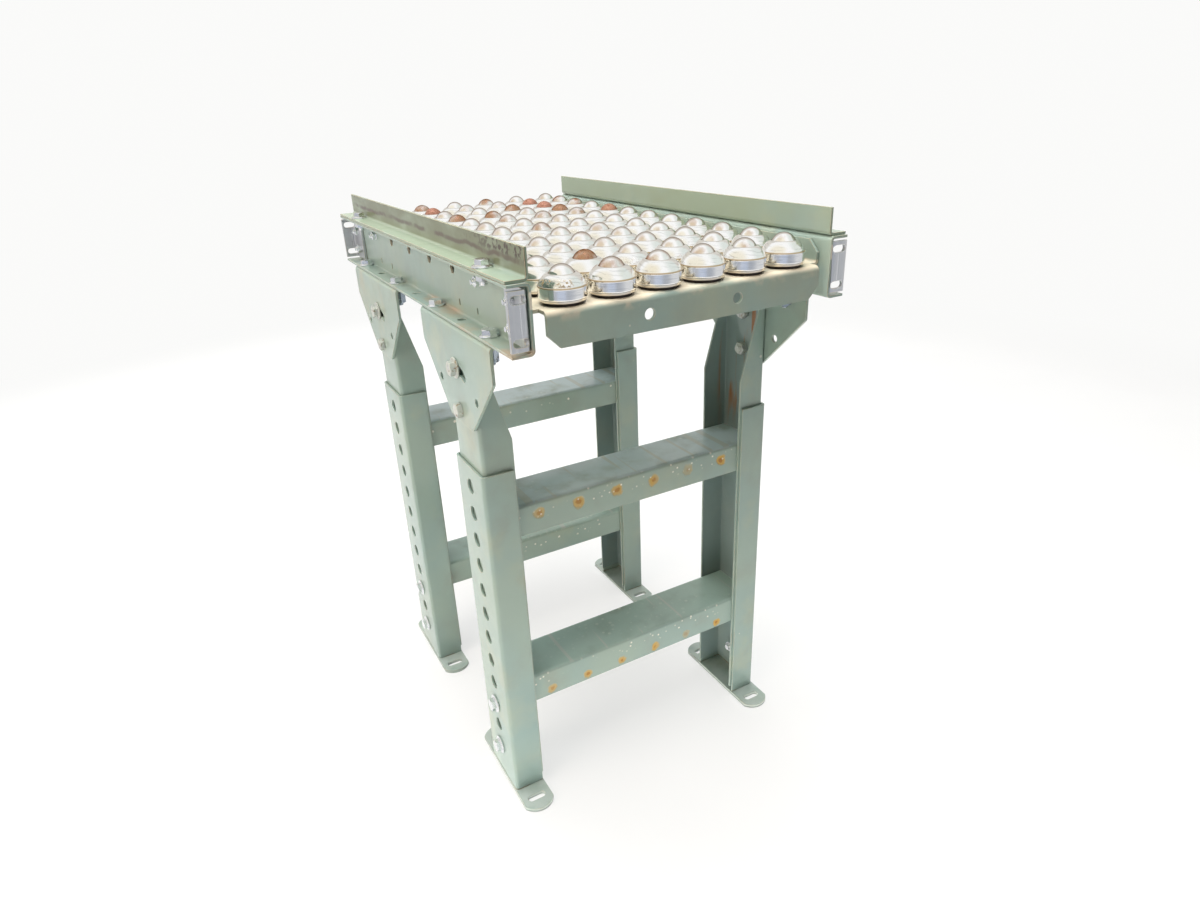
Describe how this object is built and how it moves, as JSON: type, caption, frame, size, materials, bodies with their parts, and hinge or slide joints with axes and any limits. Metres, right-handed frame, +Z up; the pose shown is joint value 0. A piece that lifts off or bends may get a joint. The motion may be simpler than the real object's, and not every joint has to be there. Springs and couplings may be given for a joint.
{
  "type": "ball transfer table",
  "caption": "Short conveyor bed of steel balls standing in cups between two guard rails, carried on two braced supports with telescoping legs and tilting pivot brackets.",
  "frame": {"origin": "on the floor under the middle of the bed", "axes": "+X across the bed to the right as seen from the front end, +Y along the bed towards the rear end, +Z up"},
  "size_m": [0.4004, 0.6096, 0.6991],
  "materials": {
    "green_paint": "grey-green semi-gloss enamel on folded steel sheet",
    "zinc_plate": "bright zinc plate, slightly dulled",
    "ball_steel": "polished steel with some tarnish"
  },
  "bodies": {
    "bed": {"bed_plate": "green_paint", "rail_left": "green_paint", "rail_right": "green_paint", "guard_left": "green_paint", "guard_right": "green_paint", "coupling_front_left": "zinc_plate", "coupling_front_right": "zinc_plate", "coupling_rear_left": "zinc_plate", "coupling_rear_right": "zinc_plate", "bracket_front_left": "green_paint", "bracket_front_right": "green_paint", "bracket_rear_left": "green_paint", "bracket_rear_right": "green_paint"},
    "front_support": {"upright_front_left": "green_paint", "upright_front_right": "green_paint", "brace_front_upper": "green_paint", "brace_front_lower": "green_paint", "pivot_bolt_front_left": "zinc_plate", "lock_bolt_front_left": "zinc_plate", "clamp_bolt_front_left_lower": "zinc_plate", "clamp_bolt_front_left_upper": "zinc_plate", "pivot_bolt_front_right": "zinc_plate", "lock_bolt_front_right": "zinc_plate", "clamp_bolt_front_right_lower": "zinc_plate", "clamp_bolt_front_right_upper": "zinc_plate"},
    "rear_support": {"upright_rear_left": "green_paint", "upright_rear_right": "green_paint", "brace_rear_upper": "green_paint", "brace_rear_lower": "green_paint", "pivot_bolt_rear_left": "zinc_plate", "lock_bolt_rear_left": "zinc_plate", "clamp_bolt_rear_left_lower": "zinc_plate", "clamp_bolt_rear_left_upper": "zinc_plate", "pivot_bolt_rear_right": "zinc_plate", "lock_bolt_rear_right": "zinc_plate", "clamp_bolt_rear_right_lower": "zinc_plate", "clamp_bolt_rear_right_upper": "zinc_plate"},
    "front_left_leg": {"leg_front_left": "green_paint"},
    "front_right_leg": {"leg_front_right": "green_paint"},
    "rear_left_leg": {"leg_rear_left": "green_paint"},
    "rear_right_leg": {"leg_rear_right": "green_paint"},
    "ball_r1_c1_body": {"ball_r1_c1": "ball_steel"},
    "ball_r1_c2_body": {"ball_r1_c2": "ball_steel"},
    "ball_r1_c3_body": {"ball_r1_c3": "ball_steel"},
    "ball_r1_c4_body": {"ball_r1_c4": "ball_steel"},
    "ball_r1_c5_body": {"ball_r1_c5": "ball_steel"},
    "ball_r1_c6_body": {"ball_r1_c6": "ball_steel"},
    "ball_r2_c1_body": {"ball_r2_c1": "ball_steel"},
    "ball_r2_c2_body": {"ball_r2_c2": "ball_steel"},
    "ball_r2_c3_body": {"ball_r2_c3": "ball_steel"},
    "ball_r2_c4_body": {"ball_r2_c4": "ball_steel"},
    "ball_r2_c5_body": {"ball_r2_c5": "ball_steel"},
    "ball_r2_c6_body": {"ball_r2_c6": "ball_steel"},
    "ball_r3_c1_body": {"ball_r3_c1": "ball_steel"},
    "ball_r3_c2_body": {"ball_r3_c2": "ball_steel"},
    "ball_r3_c3_body": {"ball_r3_c3": "ball_steel"},
    "ball_r3_c4_body": {"ball_r3_c4": "ball_steel"},
    "ball_r3_c5_body": {"ball_r3_c5": "ball_steel"},
    "ball_r3_c6_body": {"ball_r3_c6": "ball_steel"}
  },
  "joints": [
    {"name": "front_support_tilt", "type": "hinge", "parent": "bed", "child": "front_support", "pos_m": [0, -0.1524, 0.5148], "axis": [1, 0, 0], "range_deg": [-27, 27]},
    {"name": "rear_support_tilt", "type": "hinge", "parent": "bed", "child": "rear_support", "pos_m": [0, 0.1524, 0.5148], "axis": [1, 0, 0], "range_deg": [-27, 27]},
    {"name": "front_left_leg_height", "type": "slide", "parent": "front_support", "child": "front_left_leg", "axis": [0, 0, -1], "range_m": [0, 0.306]},
    {"name": "front_right_leg_height", "type": "slide", "parent": "front_support", "child": "front_right_leg", "axis": [0, 0, -1], "range_m": [0, 0.306]},
    {"name": "rear_left_leg_height", "type": "slide", "parent": "rear_support", "child": "rear_left_leg", "axis": [0, 0, -1], "range_m": [0, 0.306]},
    {"name": "rear_right_leg_height", "type": "slide", "parent": "rear_support", "child": "rear_right_leg", "axis": [0, 0, -1], "range_m": [0, 0.306]},
    {"name": "roll_r1_c1", "type": "hinge", "parent": "bed", "child": "ball_r1_c1_body", "pos_m": [-0.127, -0.2794, 0.6646], "axis": [1, 0, 0], "continuous": true},
    {"name": "roll_r1_c2", "type": "hinge", "parent": "bed", "child": "ball_r1_c2_body", "pos_m": [-0.0762, -0.2794, 0.6646], "axis": [1, 0, 0], "continuous": true},
    {"name": "roll_r1_c3", "type": "hinge", "parent": "bed", "child": "ball_r1_c3_body", "pos_m": [-0.0254, -0.2794, 0.6646], "axis": [1, 0, 0], "continuous": true},
    {"name": "roll_r1_c4", "type": "hinge", "parent": "bed", "child": "ball_r1_c4_body", "pos_m": [0.0254, -0.2794, 0.6646], "axis": [1, 0, 0], "continuous": true},
    {"name": "roll_r1_c5", "type": "hinge", "parent": "bed", "child": "ball_r1_c5_body", "pos_m": [0.0762, -0.2794, 0.6646], "axis": [1, 0, 0], "continuous": true},
    {"name": "roll_r1_c6", "type": "hinge", "parent": "bed", "child": "ball_r1_c6_body", "pos_m": [0.127, -0.2794, 0.6646], "axis": [1, 0, 0], "continuous": true},
    {"name": "roll_r2_c1", "type": "hinge", "parent": "bed", "child": "ball_r2_c1_body", "pos_m": [-0.127, -0.2286, 0.6646], "axis": [1, 0, 0], "continuous": true},
    {"name": "roll_r2_c2", "type": "hinge", "parent": "bed", "child": "ball_r2_c2_body", "pos_m": [-0.0762, -0.2286, 0.6646], "axis": [1, 0, 0], "continuous": true},
    {"name": "roll_r2_c3", "type": "hinge", "parent": "bed", "child": "ball_r2_c3_body", "pos_m": [-0.0254, -0.2286, 0.6646], "axis": [1, 0, 0], "continuous": true},
    {"name": "roll_r2_c4", "type": "hinge", "parent": "bed", "child": "ball_r2_c4_body", "pos_m": [0.0254, -0.2286, 0.6646], "axis": [1, 0, 0], "continuous": true},
    {"name": "roll_r2_c5", "type": "hinge", "parent": "bed", "child": "ball_r2_c5_body", "pos_m": [0.0762, -0.2286, 0.6646], "axis": [1, 0, 0], "continuous": true},
    {"name": "roll_r2_c6", "type": "hinge", "parent": "bed", "child": "ball_r2_c6_body", "pos_m": [0.127, -0.2286, 0.6646], "axis": [1, 0, 0], "continuous": true},
    {"name": "roll_r3_c1", "type": "hinge", "parent": "bed", "child": "ball_r3_c1_body", "pos_m": [-0.127, -0.1778, 0.6646], "axis": [1, 0, 0], "continuous": true},
    {"name": "roll_r3_c2", "type": "hinge", "parent": "bed", "child": "ball_r3_c2_body", "pos_m": [-0.0762, -0.1778, 0.6646], "axis": [1, 0, 0], "continuous": true},
    {"name": "roll_r3_c3", "type": "hinge", "parent": "bed", "child": "ball_r3_c3_body", "pos_m": [-0.0254, -0.1778, 0.6646], "axis": [1, 0, 0], "continuous": true},
    {"name": "roll_r3_c4", "type": "hinge", "parent": "bed", "child": "ball_r3_c4_body", "pos_m": [0.0254, -0.1778, 0.6646], "axis": [1, 0, 0], "continuous": true},
    {"name": "roll_r3_c5", "type": "hinge", "parent": "bed", "child": "ball_r3_c5_body", "pos_m": [0.0762, -0.1778, 0.6646], "axis": [1, 0, 0], "continuous": true},
    {"name": "roll_r3_c6", "type": "hinge", "parent": "bed", "child": "ball_r3_c6_body", "pos_m": [0.127, -0.1778, 0.6646], "axis": [1, 0, 0], "continuous": true}
  ],
  "couplings": [
    {"joint": "rear_support_tilt", "follows": "front_support_tilt", "ratio": 1}
  ]
}
